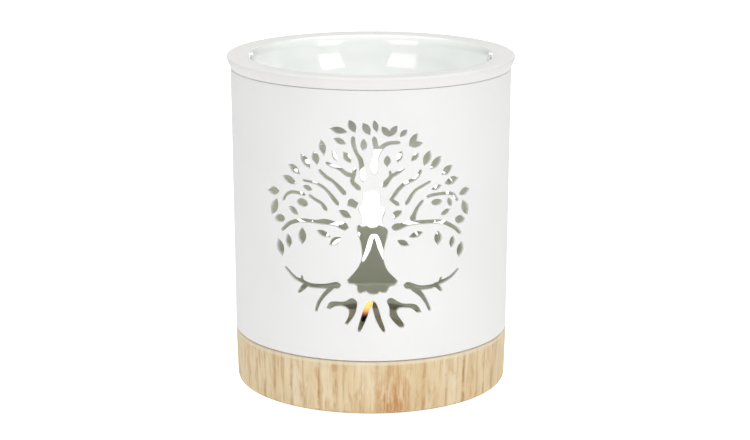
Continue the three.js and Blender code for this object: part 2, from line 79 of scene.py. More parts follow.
# Dish
SEAT_GAP = 0.3 * MM
LIP_REST = 0.15 * MM
LIP_UNDER = SLEEVE_HIGH.z + LIP_REST
LIP_ROUND = 0.8 * MM
LIP_EDGE = 0.3 * MM
DISH_GAP = 2.4 * MM
DISH_OUTSIDE = SLEEVE_TOP_RADIUS - SLEEVE_WALL - DISH_GAP
DISH_WALL = 4.1 * MM
BOWL_RADIUS = DISH_OUTSIDE - DISH_WALL
BOWL_FLOOR = DISH_LOW.z + DISH_WALL
DISH_FLAT_RADIUS = 15 * MM
RIM_FALL = 0.2 * MM
RIM_INNER = DISH_HIGH.z - RIM_FALL
RIM_SLOPE = 1.6 * MM
RIM_SLOPE_DROP = 1.85 * MM
RIM_SHOULDER = 4.2 * MM
BOWL_SHOULDER = RIM_INNER - RIM_SHOULDER
RIM_EASE = 0.5 * MM
RIM_EASE_STEPS = 2

# Base
BASE_TOP = SLEEVE_LOW.z - SEAT_GAP
BASE_EASE = 0.9 * MM
BASE_TAPER = 0.5 * MM
BASE_FOOT_ROUND = 2.6 * MM
BASE_LIP_GAP = 0.35 * MM
BASE_LIP_WALL = 3.0 * MM
BASE_LIP_OUTER = SLEEVE_BORE - BASE_LIP_GAP
BASE_INSIDE = BASE_LIP_OUTER - BASE_LIP_WALL
BASE_LIP_ROUND = 0.6 * MM
BASE_FLOOR = 9.0 * MM
BASE_FILLET = 2.0 * MM
RECESS_RADIUS = 20.5 * MM
RECESS_FLOOR = 7.5 * MM
RECESS_EASE = 0.4 * MM
PAD_COUNT = 4
PAD_EDGE = 0.35 * MM
PAD_EDGE_STEPS = 4
PAD_CORNER = math.radians(60)

# Tealight, with the start and the turn of its rolled rim in degrees
CUP_RADIUS = 19.0 * MM
CUP_WALL = 0.5 * MM
CUP_ROUND = 1.0 * MM
BEAD = 0.45 * MM
BEAD_START = -100
BEAD_TURN = 280
BEAD_STEPS = 12
WICK_RADIUS = 0.9 * MM
WICK_STEPS = 6
WICK_CURL = 1.45 * MM
WICK_CURL_STEPS = 14
WICK_TIP = 21.5 * MM
WICK_END_INSET = 0.3 * WICK_RADIUS
WICK_LUMPS = 0.25 * WICK_RADIUS
TAB_ROOM = 6.3 * MM
TAB_TOP = 9.4 * MM
COLLAR_ROOM = 2.0 * MM
COLLAR_TOP = 11.9 * MM
MELT_DEPTH = 0.5 * MM
WAX_CREEP = 0.3 * MM

# Flame: height, radius and place to the right of the axis, ring by ring, in millimetres
FLAME_RINGS = [
    (23.3, 0.5, -2.7),
    (24.2, 1.3, -2.5),
    (25.6, 1.9, -2.0),
    (27.2, 2.0, -1.4),
    (28.8, 1.7, -0.9),
    (30.4, 1.1, -0.5),
    (31.6, 0.5, -0.25),
    (32.3, 0.1, -0.1),
]

# Warm patch on the base: the shift that brings it to the middle, its stretch, and the distances from which
# it fades and at which it ends
WARM_PATCH = (-7.8 * MM, 51.0 * MM, -4.0 * MM)
WARM_STRETCH = (1, 0.25, 0.4)
WARM_FADE = (3 * MM, 7.5 * MM)

# Strong streaks on the base: way round from the middle of the front and half the width, in millimetres, and
# depth of colour
WOOD_STREAKS = [
    (-50.0, 1.2, 0.6),
    (-45.0, 1.1, 0.8),
    (-39.5, 0.9, 0.7),
    (-35.0, 0.8, 0.5),
    (-31.2, 1.0, 0.8),
    (-26.0, 0.6, 0.6),
    (-19.3, 1.2, 0.9),
    (-13.0, 1.2, 0.9),
    (-10.0, 0.5, 0.5),
    (2.2, 1.2, 0.5),
    (20.0, 0.9, 0.8),
    (29.6, 1.1, 0.7),
    (37.6, 1.2, 1.0),
    (44.8, 0.7, 0.8),
    (49.6, 0.7, 0.8),
    (56.0, 0.8, 0.6),
    (63.0, 0.9, 0.7),
]

# How far the strong streaks wander each way, in millimetres, with the broken grain and with the fibre
STREAK_WANDER = 0.45
FIBRE_WANDER = 0.5

# Where one look passes into another, as two heights or two distances from the axis
GLAZE_EDGE = (SLEEVE_FOOT_RADIUS - 1.15 * MM, SLEEVE_FOOT_RADIUS - 0.25 * MM)
# Pale band below the base's top edge: partly wear, partly a painted highlight
WOOD_TOP_WEAR_AND_HIGHLIGHT = (BASE_TOP - 1.7 * MM, BASE_TOP - 0.9 * MM)
# Darker band at the base's foot: painted shade
WOOD_FOOT_SHADE = (BASE_LOW.z + 0.3 * MM, BASE_LOW.z + 1.1 * MM)
PAINT_OUTER_EDGE = (SLEEVE_BORE, SLEEVE_BORE + 0.3 * MM)
PAINT_LOW_EDGE = (RECESS_FLOOR - 1.0 * MM, RECESS_FLOOR - 0.5 * MM)
# Wet melt round the wick: glossier, and darker partly as painted shade
WET_AND_SHADED_WAX_EDGE = (8 * MM, 15 * MM)
CHAR_EDGE = (WAX_HIGH.z - 0.9 * MM, WAX_HIGH.z - 0.2 * MM)

# Share of the bowl's depth by which a glazed corner may lie under its floor
FLOOR_SLACK = 0.000001

# Facets round the turned pieces, the small ones, and the wick and its flame, which are made finer twice
FINE_ROUND = 192
SMALL_ROUND = 96
THIN_ROUND = 16
FINER_LEVELS = 2

# Softboxes: name, degrees round from the camera's side and up, distance, width and height in metres, and
# radiance
SOFTBOXES = [
    ("front_left", -34, 22, 1.2, 0.6, 0.66, 1.92),
    ("front_right", 44, 22, 1.2, 0.5, 0.66, 3.0),
    ("overhead", 0, 90, 1.2, 1.4, 1.4, 1.93),
    ("back_left", -167, 5, 1.8, 0.45, 0.4, 1.0),
    ("back_right", 167, 5, 1.8, 0.5, 0.4, 1.1),
]

# Light inside the sleeve: name, height in millimetres, degrees of tilt from straight down, width in
# millimetres, power in watts and colour, and how far both lights stand in front of the axis
INNER_LIGHTS = [
    ("chamber_light", 58, 100, 40, 0.005, (0.98, 1.0, 0.93)),
    ("flame_light", 40, 180, 30, 0.0115, (1.0, 1.0, 0.95)),
]
INNER_LIGHT_FORWARD = 8 * MM

# Floor: its width in metres, and what it gives back to the object beside the light that falls on it
FLOOR_SIZE = 40
FLOOR_GLOW = 0.3

# Even light from all round
WORLD_GLOW = 0.28

# Camera, from the photograph's ellipses and edges
PHOTO_WIDTH = 750
FOCAL_PIXELS = 2182
SENSOR_WIDTH = 36
CAMERA_PLACE = (1.52 * MM, -806.9 * MM, 260.1 * MM)
CAMERA_PITCH = math.radians(13.81)


def start_piece(name, add, **size):
    """Deselects everything and adds a primitive under the piece's name."""
    bpy.ops.object.select_all(action="DESELECT")
    add(**size)
    piece = bpy.context.object
    piece.name = piece.data.name = name
    return piece


def pick_only(piece):
    """Selects one piece and makes it the active one."""
    bpy.ops.object.select_all(action="DESELECT")
    bpy.context.view_layer.objects.active = piece
    piece.select_set(True)


def close_seams():
    """In edit mode: merges corners that lie together and turns every face outwards."""
    bpy.ops.mesh.select_all(action="SELECT")
    bpy.ops.mesh.remove_doubles(threshold=MERGE)
    bpy.ops.mesh.normals_make_consistent(inside=False)


def smooth(piece, degrees):
    """Smooth shading, except over edges sharper than that."""
    pick_only(piece)
    bpy.ops.object.shade_smooth_by_angle(angle=math.radians(degrees))


def bend(start, corner, end, steps=8):
    """Points of a rounded corner from start to end."""
    points = []
    for i in range(steps + 1):
        t = i / steps
        weights = ((1 - t) ** 2, 2 * t * (1 - t), t * t)
        pulls = list(zip(weights, (start, corner, end)))
        points.append(tuple(sum(w * p[k] for w, p in pulls) for k in (0, 1)))
    return points


def bowl_side(wall_radius, wall_foot, floor, steps=24):
    """Points of a bowl's side, from its upright wall down to the edge of its flat floor."""
    points = []
    for i in range(steps + 1):
        turn = i / steps * math.pi / 2
        across = DISH_FLAT_RADIUS + (wall_radius - DISH_FLAT_RADIUS) * math.cos(turn)
        points.append((across, wall_foot - (wall_foot - floor) * math.sin(turn)))
    return points


def lathe(name, profile, steps):
    """Draws a profile of (radius, height) point by point and spins it round the upright axis."""
    piece = start_piece(name, bpy.ops.mesh.primitive_plane_add, size=MM)
    bpy.ops.object.mode_set(mode="EDIT")
    bpy.ops.mesh.merge(type="CENTER")
    bpy.ops.transform.translate(value=(profile[0][0], 0, profile[0][1]))
    for (from_radius, from_height), (radius, height) in zip(profile, profile[1:]):
        move = (radius - from_radius, 0, height - from_height)
        bpy.ops.mesh.extrude_vertices_move(TRANSFORM_OT_translate={"value": move})
    bpy.ops.mesh.select_all(action="SELECT")
    bpy.ops.mesh.spin(steps=steps, angle=2 * math.pi, center=(0, 0, 0), axis=(0, 0, 1))
    close_seams()
    bpy.ops.object.mode_set(mode="OBJECT")
    return piece


# The sleeve is cut from a flat pattern that goes once round. Its seam is a quarter turn to the left
PATTERN_RADIUS = (SLEEVE_TOP_RADIUS + SLEEVE_FOOT_RADIUS) / 2
FULL_TURN = 2 * math.pi * PATTERN_RADIUS
SEAM_AT = -0.25
COLUMNS = 120
ROWS = 36

# How the holes are found on the solid and their outlines smoothed
FACING_OUT = 0.8
LEAST_HOLE_HEIGHT = 1.0 * MM
STRAIGHT = 0.03 * MM
SHARP_TURN = math.radians(62)
OUTLINE_STEP = 0.8 * MM

# How the holes' edges are rounded without meeting each other or folding over
EDGE_STEPS = 3
LEAST_CORNER = 0.6
SHARE_OF_BRIDGE = 0.4
FOLD_TRIES = 9
LEAST_STEP = 0.3
LESS_REACH = 0.7

# How far the grid keeps from those edges, and the kind of fill that gives every triangle
CLEAR_OF_EDGE = 0.9 * MM
ALL_TRIANGLES = 0


def hole_outlines():
    """Both trees' holes on the sleeve's outer face: loops of (way round, height)."""
    wall = bmesh.new()
    wall.from_mesh(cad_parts["pierced_body"].data)
    bmesh.ops.remove_doubles(wall, verts=wall.verts, dist=MERGE)
    outside = set()
    for face in wall.faces:
        middle = face.calc_center_median()
        if face.normal.dot(Vector((middle.x, middle.y, 0)).normalized()) > FACING_OUT:
            outside.add(face)
    beside = {}
    for edge in wall.edges:
        if sum(face in outside for face in edge.link_faces) == 1:
            for one, other in (edge.verts, reversed(edge.verts)):
                beside.setdefault(one, []).append(other)
    outlines = []
    while beside:
        corner = next(iter(beside))
        loop = []
        while corner is not None:
            loop.append(corner.co.copy())
            corner = next((other for other in beside.pop(corner) if other in beside), None)
        heights = [place.z for place in loop]
        side = 1 if sum(place.y for place in loop) < 0 else -1
        half_turn = 0 if side > 0 else math.pi
        if max(heights) - min(heights) > LEAST_HOLE_HEIGHT:
            angles = [math.atan2(side * p.x, -side * p.y) + half_turn for p in loop]
            outlines.append([Vector((PATTERN_RADIUS * angle, z)) for angle, z in zip(angles, heights)])
    wall.free()
    return outlines


def off_line(before, here, after):
    """How far a point lies off the line between its neighbours."""
    along = after - before
    return abs(along.cross(here - before)) / max(along.length, STRAIGHT)


def without_straight_points(loop):
    """The loop, anticlockwise, without the points that only split a straight stretch."""
    area = sum(loop[i - 1].cross(here) for i, here in enumerate(loop))
    kept = list(loop) if area > 0 else list(reversed(loop))
    i = 0
    while i < len(kept):
        if off_line(kept[i - 1], kept[i], kept[(i + 1) % len(kept)]) < STRAIGHT:
            kept.pop(i)
        else:
            i += 1
    return kept


def rounded_outline(loop):
    """A smooth line through a loop's points that keeps its sharp tips."""
    points = without_straight_points(loop)
    count = len(points)
    headings = []
    for i, here in enumerate(points):
        came, goes = here - points[i - 1], points[(i + 1) % count] - here
        headings.append(None if came.angle(goes) > SHARP_TURN else (came + goes).normalized())
    outline = []
    for i, here in enumerate(points):
        after = points[(i + 1) % count]
        chord = after - here
        leave = (headings[i] or chord.normalized()) * chord.length
        arrive = (headings[(i + 1) % count] or chord.normalized()) * chord.length
        steps = max(1, round(chord.length / OUTLINE_STEP))
        for k in range(steps):
            t = k / steps
            outline.append(
                here * (2 * t**3 - 3 * t**2 + 1)
                + leave * (t**3 - 2 * t**2 + t)
                + after * (3 * t**2 - 2 * t**3)
                + arrive * (t**3 - t**2)
            )
    return outline


def edge_directions(outline):
    """From each point of an outline, the way into the clay round the hole, mitred at corners."""
    directions = []
    for i, here in enumerate(outline):
        came = (here - outline[i - 1]).normalized()
        goes = (outline[(i + 1) % len(outline)] - here).normalized()
        sides = Vector((came.y, -came.x)), Vector((goes.y, -goes.x))
        mean = (sides[0] + sides[1]).normalized()
        directions.append(mean / max(mean.dot(sides[0]), LEAST_CORNER))
    return directions


def tree_of(places):
    """The places as a search tree."""
    tree = kdtree.KDTree(len(places))
    for i, place in enumerate(places):
        tree.insert((*place, 0), i)
    tree.balance()
    return tree


def edge_reaches(outline, directions, gaps):
    """How far the rounded edge spreads at each point: less beside another hole or where it would fold."""
    reaches = [min(HOLE_EDGE, SHARE_OF_BRIDGE * gap) for gap in gaps]
    for _ in range(FOLD_TRIES):
        spread = [p + d * r for p, d, r in zip(outline, directions, reaches)]
        for i in range(len(outline)):
            along = outline[i] - outline[i - 1]
            if (spread[i] - spread[i - 1]).dot(along) < LEAST_STEP * along.length_squared:
                reaches[i] *= LESS_REACH
                reaches[i - 1] *= LESS_REACH
    return reaches


def edge_rings():
    """Rings from the outer to the inner skin: spread, sink and tilt of a round edge, and side."""
    outer = []
    for i in range(EDGE_STEPS + 1):
        tilt = i / EDGE_STEPS * math.pi / 2
        outer.append((1 - math.sin(tilt), 1 - math.cos(tilt), tilt, 1))
    return outer + [(spread, sink, math.pi - tilt, -1) for spread, sink, tilt, _ in reversed(outer)]


class Pattern:
    """The sleeve as a flat sheet: corners as (way round, height, depth), their facings, and faces."""

    def __init__(self):
        self.corners, self.facings, self.faces = [], [], []

    def add(self, place, depth, facing):
        """Adds a corner and returns its number."""
        self.corners.append((place.x, place.y, depth))
        self.facings.append(facing)
        return len(self.corners) - 1

    def edge_wall(self, first, last, places, directions, reaches, closed):
        """Rounded wall between a line of corners on the outer skin and the same line on the inner one."""
        rings = [first]
        for spread, sink, tilt, side in edge_rings()[1:-1]:
            ring = []
            for place, direction, reach in zip(places, directions, reaches):
                depth = side * (SLEEVE_WALL / 2 - reach * sink)
                away = -direction.normalized() * math.sin(tilt)
                ring.append(self.add(place + direction * reach * spread, depth, (*away, math.cos(tilt))))
            rings.append(ring)
        rings.append(last)
        count = len(first)
        for upper, lower in zip(rings, rings[1:]):
            for i in range(count if closed else count - 1):
                k = (i + 1) % count
                self.faces.append((upper[i], lower[i], lower[k], upper[k]))


def edged_holes():
    """Every hole: its outline, and the way and the reach of the rounded edge round it."""
    outlines = [rounded_outline(loop) for loop in hole_outlines()]
    around = tree_of([point for outline in outlines for point in outline])
    owners = [k for k, outline in enumerate(outlines) for _ in outline]
    holes = []
    for k, outline in enumerate(outlines):
        directions = edge_directions(outline)
        gaps = []
        for point in outline:
            near = around.find_range((*point, 0), HOLE_EDGE / SHARE_OF_BRIDGE)
            gaps.append(min([gap for _, i, gap in near if owners[i] != k], default=FULL_TURN))
        holes.append((outline, directions, edge_reaches(outline, directions, gaps)))
    return holes


def add_grid(flat, columns, rows):
    """Adds the sheet's grid to its flat corners, clear of the holes, and returns their numbers."""
    near = tree_of(flat)
    grid = {}
    for i, way_round in enumerate(columns):
        for j, height in enumerate(rows):
            on_border = i in (0, COLUMNS) or j in (0, ROWS)
            if on_border or near.find((way_round, height, 0))[2] > CLEAR_OF_EDGE:
                grid[i, j] = len(flat)
                flat.append(Vector((way_round, height)))
    return grid


def border_lines(grid):
    """The four sides of the sheet, as lines between its corners."""
    lines = []
    for i in range(COLUMNS):
        lines.extend([(grid[i, 0], grid[i + 1, 0]), (grid[i, ROWS], grid[i + 1, ROWS])])
    for j in range(ROWS):
        lines.extend([(grid[0, j], grid[0, j + 1]), (grid[COLUMNS, j], grid[COLUMNS, j + 1])])
    return lines


def sleeve_pattern():
    """The flat sheet with both trees cut through it, and rounded edges all over."""
    low, high = SLEEVE_LOW.z + SLEEVE_EDGE, SLEEVE_HIGH.z - SLEEVE_EDGE
    columns = [(i / COLUMNS + SEAM_AT) * FULL_TURN for i in range(COLUMNS + 1)]
    rows = [low + (high - low) * j / ROWS for j in range(ROWS + 1)]
    holes = edged_holes()
    flat, loops = [], []
    for outline, directions, reaches in holes:
        first = len(flat)
        flat.extend(p + d * r for p, d, r in zip(outline, directions, reaches))
        loops.append(list(range(first, len(flat))))
    grid = add_grid(flat, columns, rows)
    cut_sheet = geometry.delaunay_2d_cdt(flat, border_lines(grid), loops, ALL_TRIANGLES, MERGE)
    places, _, triangles, sources, _, within = cut_sheet
    found = {source: i for i, group in enumerate(sources) for source in group}
    pattern = Pattern()
    outer = [pattern.add(place, SLEEVE_WALL / 2, (0, 0, 1)) for place in places]
    inner = [pattern.add(place, -SLEEVE_WALL / 2, (0, 0, -1)) for place in places]
    for (a, b, c), hole in zip(triangles, within):
        if not hole:
            pattern.faces.extend([(outer[a], outer[b], outer[c]), (inner[c], inner[b], inner[a])])
    for (outline, directions, reaches), ids in zip(holes, loops):
        first, last = [outer[found[i]] for i in ids], [inner[found[i]] for i in ids]
        pattern.edge_wall(first, last, outline, directions, reaches, closed=True)
    for j, edge in ((0, SLEEVE_LOW.z), (ROWS, SLEEVE_HIGH.z)):
        ids = [found[grid[i, j]] for i in range(COLUMNS + 1)]
        into = Vector((0, math.copysign(1, rows[j] - edge)))
        pattern.edge_wall(
            [outer[i] for i in ids],
            [inner[i] for i in ids],
            [Vector((way_round, edge)) for way_round in columns],
            [into] * len(ids),
            [SLEEVE_EDGE] * len(ids),
            closed=False,
        )
    return pattern


def wrapped(way_round, height, depth):
    """Where a point of the flat pattern lies on the slightly tapered sleeve."""
    rise = (height - SLEEVE_LOW.z) / (SLEEVE_HIGH.z - SLEEVE_LOW.z)
    outside = SLEEVE_FOOT_RADIUS + rise * (SLEEVE_TOP_RADIUS - SLEEVE_FOOT_RADIUS)
    radius = outside - SLEEVE_WALL / 2 + depth
    angle = way_round / PATTERN_RADIUS
    return radius * math.sin(angle), -radius * math.cos(angle), height


def pierced_sleeve():
    """Wraps the pierced pattern round and closes it. The fill of so many small holes needs mesh code."""
    pattern = sleeve_pattern()
    mesh = bpy.data.meshes.new("pierced_sleeve")
    mesh.from_pydata([wrapped(*corner) for corner in pattern.corners], [], pattern.faces)
    facing = mesh.attributes.new("facing", "FLOAT_VECTOR", "POINT")
    for mark, corner, (across, up, out) in zip(facing.data, pattern.corners, pattern.facings):
        angle = corner[0] / PATTERN_RADIUS
        sine, cosine = math.sin(angle), math.cos(angle)
        mark.vector = (across * cosine + out * sine, across * sine - out * cosine, up)
    piece = bpy.data.objects.new("pierced_sleeve", mesh)
    bpy.context.scene.collection.objects.link(piece)
    pick_only(piece)
    bpy.ops.object.mode_set(mode="EDIT")
    close_seams()
    bpy.ops.mesh.delete_loose()
    bpy.ops.object.mode_set(mode="OBJECT")
    bpy.ops.object.shade_smooth()
    facing = mesh.attributes["facing"]
    normals = [Vector(mark.vector).normalized() for mark in facing.data]
    mesh.normals_split_custom_set_from_vertices(normals)
    mesh.attributes.remove(mesh.attributes["facing"])
    return piece


def glazed_dish():
    """Dish with a flared lip, and a flat rim that slopes and rounds into the bowl."""
    top = DISH_HIGH.z
    lip = DISH_HIGH.x
    flare = (lip - SLEEVE_TOP_RADIUS) / (top - LIP_ROUND - LIP_UNDER)
    slope = bend(
        (BOWL_RADIUS + RIM_SLOPE, RIM_INNER),
        (BOWL_RADIUS, RIM_INNER - RIM_SLOPE_DROP),
        (BOWL_RADIUS, BOWL_SHOULDER),
        steps=12,
    )
    profile = [(0, DISH_LOW.z)]
    profile += bowl_side(DISH_OUTSIDE, LIP_UNDER, DISH_LOW.z)[::-1]
    profile += bend(
        (SLEEVE_TOP_RADIUS - LIP_EDGE, LIP_UNDER),
        (SLEEVE_TOP_RADIUS, LIP_UNDER),
        (SLEEVE_TOP_RADIUS + flare * LIP_EDGE, LIP_UNDER + LIP_EDGE),
        steps=5,
    )
    profile += bend((lip, top - LIP_ROUND), (lip, top), (lip - LIP_ROUND, top))
    edge = slope[0]
    profile += bend((edge[0] + RIM_EASE, RIM_INNER), edge, slope[RIM_EASE_STEPS], steps=5)
    profile += slope[RIM_EASE_STEPS + 1 :]
    profile += bowl_side(BOWL_RADIUS, BOWL_SHOULDER, BOWL_FLOOR)[1:]
    profile.append((0, BOWL_FLOOR))
    piece = lathe("glazed_dish", profile, FINE_ROUND)
    smooth(piece, degrees=50)
    return piece


def turned_base():
    """Wood base: a shallow cup with an eased top edge, an inner lip and a recess for the tealight."""
    foot_radius = SLEEVE_FOOT_RADIUS - BASE_TAPER
    foot, lip_top = BASE_LOW.z, BASE_HIGH.z
    profile = [(0, foot)]
    profile += bend(
        (foot_radius - BASE_FOOT_ROUND, foot),
        (foot_radius, foot),
        (foot_radius, foot + BASE_FOOT_ROUND),
    )
    profile += bend(
        (SLEEVE_FOOT_RADIUS, BASE_TOP - BASE_EASE),
        (SLEEVE_FOOT_RADIUS, BASE_TOP),
        (SLEEVE_FOOT_RADIUS - BASE_EASE, BASE_TOP),
    )
    profile.append((BASE_LIP_OUTER, BASE_TOP))
    for side, turn in ((BASE_LIP_OUTER, -1), (BASE_INSIDE, 1)):
        round_off = bend(
            (side, lip_top - BASE_LIP_ROUND),
            (side, lip_top),
            (side + turn * BASE_LIP_ROUND, lip_top),
            steps=4,
        )
        profile += round_off if turn < 0 else round_off[::-1]
    profile += bend(
        (BASE_INSIDE, BASE_FLOOR + BASE_FILLET),
        (BASE_INSIDE, BASE_FLOOR),
        (BASE_INSIDE - BASE_FILLET, BASE_FLOOR),
    )
    profile += bend(
        (RECESS_RADIUS + RECESS_EASE, BASE_FLOOR),
        (RECESS_RADIUS, BASE_FLOOR),
        (RECESS_RADIUS, BASE_FLOOR - RECESS_EASE),
        steps=3,
    )
    profile += [(RECESS_RADIUS, RECESS_FLOOR), (0, RECESS_FLOOR)]
    piece = lathe("turned_base", profile, FINE_ROUND)
    for i in range(PAD_COUNT):
        cut_pocket(piece, *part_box(f"felt_pad_{i + 1}"))
    smooth(piece, degrees=40)
    return piece


def cut_pocket(piece, low, high):
    """Cuts the shallow round pocket that a pad is glued in."""
    deep = high.z + SEAT_GAP
    cutter = start_piece(
        "pocket",
        bpy.ops.mesh.primitive_cylinder_add,
        vertices=SMALL_ROUND,
        radius=(high.x - low.x) / 2 + SEAT_GAP,
        depth=2 * deep,
        location=((low.x + high.x) / 2, (low.y + high.y) / 2, 0),
    )
    pick_only(piece)
    cut = piece.modifiers.new("pocket", "BOOLEAN")
    cut.operation = "DIFFERENCE"
    cut.object = cutter
    bpy.ops.object.modifier_apply(modifier=cut.name)
    bpy.data.objects.remove(cutter)


def felt_disc(number):
    """Soft-edged felt disc in place of one pad."""
    low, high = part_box(f"felt_pad_{number}")
    piece = start_piece(
        f"felt_disc_{number}",
        bpy.ops.mesh.primitive_cylinder_add,
        vertices=SMALL_ROUND,
        radius=(high.x - low.x) / 2,
        depth=high.z - low.z,
        location=(low + high) / 2,
    )
    bpy.ops.object.transform_apply()
    bpy.ops.object.mode_set(mode="EDIT")
    bpy.ops.mesh.select_all(action="DESELECT")
    bpy.ops.mesh.edges_select_sharp(sharpness=PAD_CORNER)
    bpy.ops.mesh.bevel(offset=PAD_EDGE, segments=PAD_EDGE_STEPS)
    bpy.ops.object.mode_set(mode="OBJECT")
    smooth(piece, degrees=40)
    return piece


def foil_cup():
    """Thin drawn cup with a rolled rim."""
    foot, top = CUP_LOW.z, CUP_HIGH.z
    floor, inside = foot + CUP_WALL, CUP_RADIUS - CUP_WALL
    bead_radius, bead_height = CUP_HIGH.x - BEAD, top - BEAD
    profile = [(0, foot)]
    profile += bend((CUP_RADIUS - CUP_ROUND, foot), (CUP_RADIUS, foot), (CUP_RADIUS, foot + CUP_ROUND))
    for i in range(BEAD_STEPS + 1):
        turn = math.radians(BEAD_START + i * BEAD_TURN / BEAD_STEPS)
        profile.append((bead_radius + BEAD * math.cos(turn), bead_height + BEAD * math.sin(turn)))
    profile += bend((inside, floor + CUP_ROUND), (inside, floor), (inside - CUP_ROUND, floor))
    profile.append((0, floor))
    piece = lathe("foil_cup", profile, FINE_ROUND)
    smooth(piece, degrees=40)
    return piece


def candle_wax():
    """Wax with a hollow melted round the wick, hollow below for the wick's metal foot."""
    foot, top, side = WAX_LOW.z, WAX_HIGH.z, WAX_HIGH.x
    melt = top - MELT_DEPTH
    bore = WICK_RADIUS + SEAT_GAP
    neck = 4 * bore
    profile = [(TAB_ROOM, foot)]
    profile += bend((side - CUP_ROUND, foot), (side, foot), (side, foot + CUP_ROUND))
    profile += bend((side, top + WAX_CREEP), (side - 2 * WAX_CREEP, melt), (side / 2, melt))
    profile += bend((neck, melt), (bore, melt), (bore, top))
    profile += [(bore, COLLAR_TOP), (COLLAR_ROOM, COLLAR_TOP), (COLLAR_ROOM, TAB_TOP), (TAB_ROOM, TAB_TOP)]
    profile.append(profile[0])
    piece = lathe("candle_wax", profile, SMALL_ROUND)
    smooth(piece, degrees=40)
    return piece


def burnt_wick():
    """Wick that stands in the wax and hooks over to the left where it has burnt."""
    straight = WICK_HIGH.z - WICK_RADIUS - WICK_CURL
    piece = start_piece(
        "burnt_wick",
        bpy.ops.mesh.primitive_circle_add,
        vertices=THIN_ROUND,
        radius=WICK_RADIUS,
        fill_type="NGON",
        location=(0, 0, WICK_LOW.z),
    )
    bpy.ops.object.transform_apply()
    bpy.ops.object.mode_set(mode="EDIT")
    for _ in range(WICK_STEPS):
        rise = (0, 0, (straight - WICK_LOW.z) / WICK_STEPS)
        bpy.ops.mesh.extrude_region_move(TRANSFORM_OT_translate={"value": rise})
    curl_middle = (-WICK_CURL, 0, straight)
    bpy.ops.mesh.spin(steps=WICK_CURL_STEPS, angle=math.pi, center=curl_middle, axis=(0, 1, 0))
    bpy.ops.mesh.extrude_region_move(TRANSFORM_OT_translate={"value": (0, 0, WICK_TIP - straight)})
    bpy.ops.mesh.inset(thickness=WICK_END_INSET)
    close_seams()
    bpy.ops.object.mode_set(mode="OBJECT")
    finer = piece.modifiers.new("finer", "SUBSURF")
    finer.levels = finer.render_levels = FINER_LEVELS
    lumps = piece.modifiers.new("lumps", "DISPLACE")
    lumps.texture = bpy.data.textures.new("braid_lumps", "CLOUDS")
    lumps.texture.noise_scale = WICK_RADIUS
    lumps.strength = WICK_LUMPS
    for step in (finer, lumps):
        bpy.ops.object.modifier_apply(modifier=step.name)
    smooth(piece, degrees=60)
    return piece


def candle_flame():
    """Flame round the wick's end that stands up from it, drawn ring by ring."""
    height, radius, lean = FLAME_RINGS[0]
    piece = start_piece(
        "candle_flame",
        bpy.ops.mesh.primitive_circle_add,
        vertices=THIN_ROUND,
        radius=radius * MM,
        fill_type="NGON",
        location=(lean * MM, 0, height * MM),
    )
    bpy.ops.object.transform_apply()
    bpy.ops.object.mode_set(mode="EDIT")
    for (low, narrow, from_lean), (high, wide, to_lean) in zip(FLAME_RINGS, FLAME_RINGS[1:]):
        move = ((to_lean - from_lean) * MM, 0, (high - low) * MM)
        bpy.ops.mesh.extrude_region_move(TRANSFORM_OT_translate={"value": move})
        swell = wide / narrow
        middle = (to_lean * MM, 0, high * MM)
        bpy.ops.transform.resize(value=(swell, swell, 1), center_override=middle)
    close_seams()
    bpy.ops.object.mode_set(mode="OBJECT")
    finer = piece.modifiers.new("finer", "SUBSURF")
    finer.levels = finer.render_levels = FINER_LEVELS
    bpy.ops.object.modifier_apply(modifier=finer.name)
    bpy.ops.object.shade_smooth()
    return piece


# Finishes. Blender numbers the sockets of its Mix node, so those of its colours are named here
MIX_SHARE, MIX_FIRST, MIX_SECOND = 0, 6, 7
MIXED_COLOUR = 2


def srgb(red, green, blue):
    """A colour as seen on a screen, 0 to 255, in the shader's own linear values."""
    linear = []
    for part in (red, green, blue):
        share = part / 255
        linear.append(share / 12.92 if share <= 0.04045 else ((share + 0.055) / 1.055) ** 2.4)
    return (*linear, 1)


def put(tree, kind, inputs=None, **settings):
    """Adds a node with its settings, and fills or links its inputs."""
    node = tree.nodes.new(kind)
    for name, value in settings.items():
        setattr(node, name, value)
    for name, value in (inputs or {}).items():
        if isinstance(value, bpy.types.NodeSocket):
            tree.links.new(value, node.inputs[name])
        else:
            node.inputs[name].default_value = value
    return node


def blend(tree, share, first, second):
    """Colour between first and second by share."""
    inputs = {MIX_SHARE: share, MIX_FIRST: first, MIX_SECOND: second}
    return put(tree, "ShaderNodeMix", inputs, data_type="RGBA").outputs[MIXED_COLOUR]


def ramp(tree, value, low, high, to_low=0.0, to_high=1.0):
    """Value stretched from low..high to to_low..to_high, and held at its ends."""
    inputs = {"Value": value, "From Min": low, "From Max": high, "To Min": to_low, "To Max": to_high}
    return put(tree, "ShaderNodeMapRange", inputs).outputs["Result"]


def maths(tree, operation, first, second=0.0):
    """Result of one step of arithmetic."""
    return put(tree, "ShaderNodeMath", {0: first, 1: second}, operation=operation).outputs[0]


def stretched(tree, scale=(1, 1, 1), shift=(0, 0, 0)):
    """Object coordinates, shifted and then stretched by a scale for each axis."""
    where = put(tree, "ShaderNodeTexCoord").outputs["Object"]
    moved = put(tree, "ShaderNodeVectorMath", {0: where, 1: shift}, operation="ADD").outputs[0]
    return put(tree, "ShaderNodeVectorMath", {0: moved, 1: scale}, operation="MULTIPLY").outputs[0]


def height_up(tree):
    """Height over the table, in metres."""
    return put(tree, "ShaderNodeSeparateXYZ", {0: stretched(tree)}).outputs["Z"]


def length_of(tree, vector):
    """Length of a vector."""
    return put(tree, "ShaderNodeVectorMath", {0: vector}, operation="LENGTH").outputs["Value"]


def grains(tree, where, scale, detail=3.0, rough=0.5, warp=0.0):
    """Cloudy noise from 0 to 1."""
    inputs = {"Vector": where, "Scale": scale, "Detail": detail, "Roughness": rough, "Distortion": warp}
    return put(tree, "ShaderNodeTexNoise", inputs).outputs[0]


